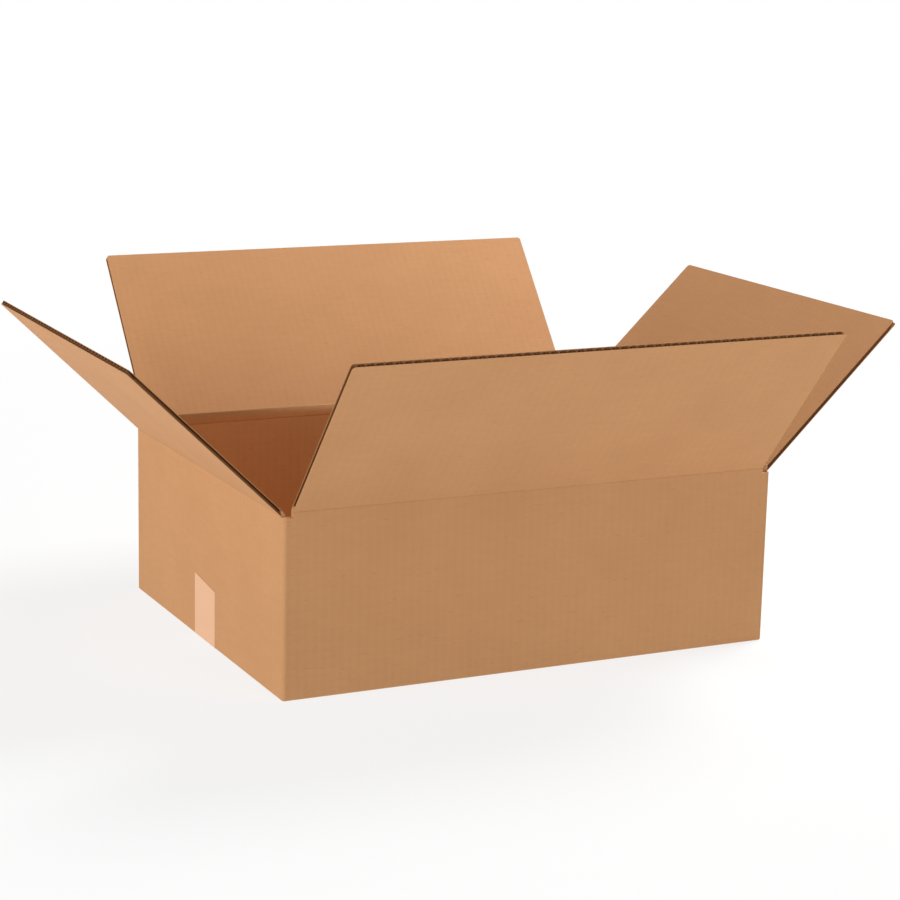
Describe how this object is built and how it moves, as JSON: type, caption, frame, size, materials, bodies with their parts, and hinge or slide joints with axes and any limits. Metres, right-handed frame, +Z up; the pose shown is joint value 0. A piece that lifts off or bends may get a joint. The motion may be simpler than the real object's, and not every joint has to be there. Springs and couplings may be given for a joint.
{
  "type": "cardboard box",
  "caption": "Shallow shipping carton of brown corrugated board, erected and taped underneath, with its top flaps folded open on their creases.",
  "frame": {"origin": "on the floor, under the middle of the carton", "axes": "+Z up, +X along the length, towards the right end; the front long wall faces -Y"},
  "size_m": [0.726, 0.5942, 0.3024],
  "materials": {
    "kraft_board": "matt brown kraft liner, dark open flutes along the cut edges",
    "tape": "thin tan packing tape, slightly glossy, the board showing through"
  },
  "bodies": {
    "carton": {"carton_body": "kraft_board", "bottom_tape": "tape"},
    "front_flap": {"front_flap": "kraft_board"},
    "back_flap": {"back_flap": "kraft_board"},
    "left_flap": {"left_flap": "kraft_board"},
    "right_flap": {"right_flap": "kraft_board"}
  },
  "joints": [
    {"name": "front_crease", "type": "hinge", "parent": "carton", "child": "front_flap", "pos_m": [0, -0.1818, 0.16], "axis": [-1, 0, 0], "range_deg": [-110.5, 129.5]},
    {"name": "back_crease", "type": "hinge", "parent": "carton", "child": "back_flap", "pos_m": [0, 0.1818, 0.16], "axis": [1, 0, 0], "range_deg": [-110.5, 129.5]},
    {"name": "left_crease", "type": "hinge", "parent": "carton", "child": "left_flap", "pos_m": [-0.2326, 0, 0.1557], "axis": [0, 1, 0], "range_deg": [-101, 136]},
    {"name": "right_crease", "type": "hinge", "parent": "carton", "child": "right_flap", "pos_m": [0.2326, 0, 0.1557], "axis": [0, -1, 0], "range_deg": [-101, 136]}
  ]
}
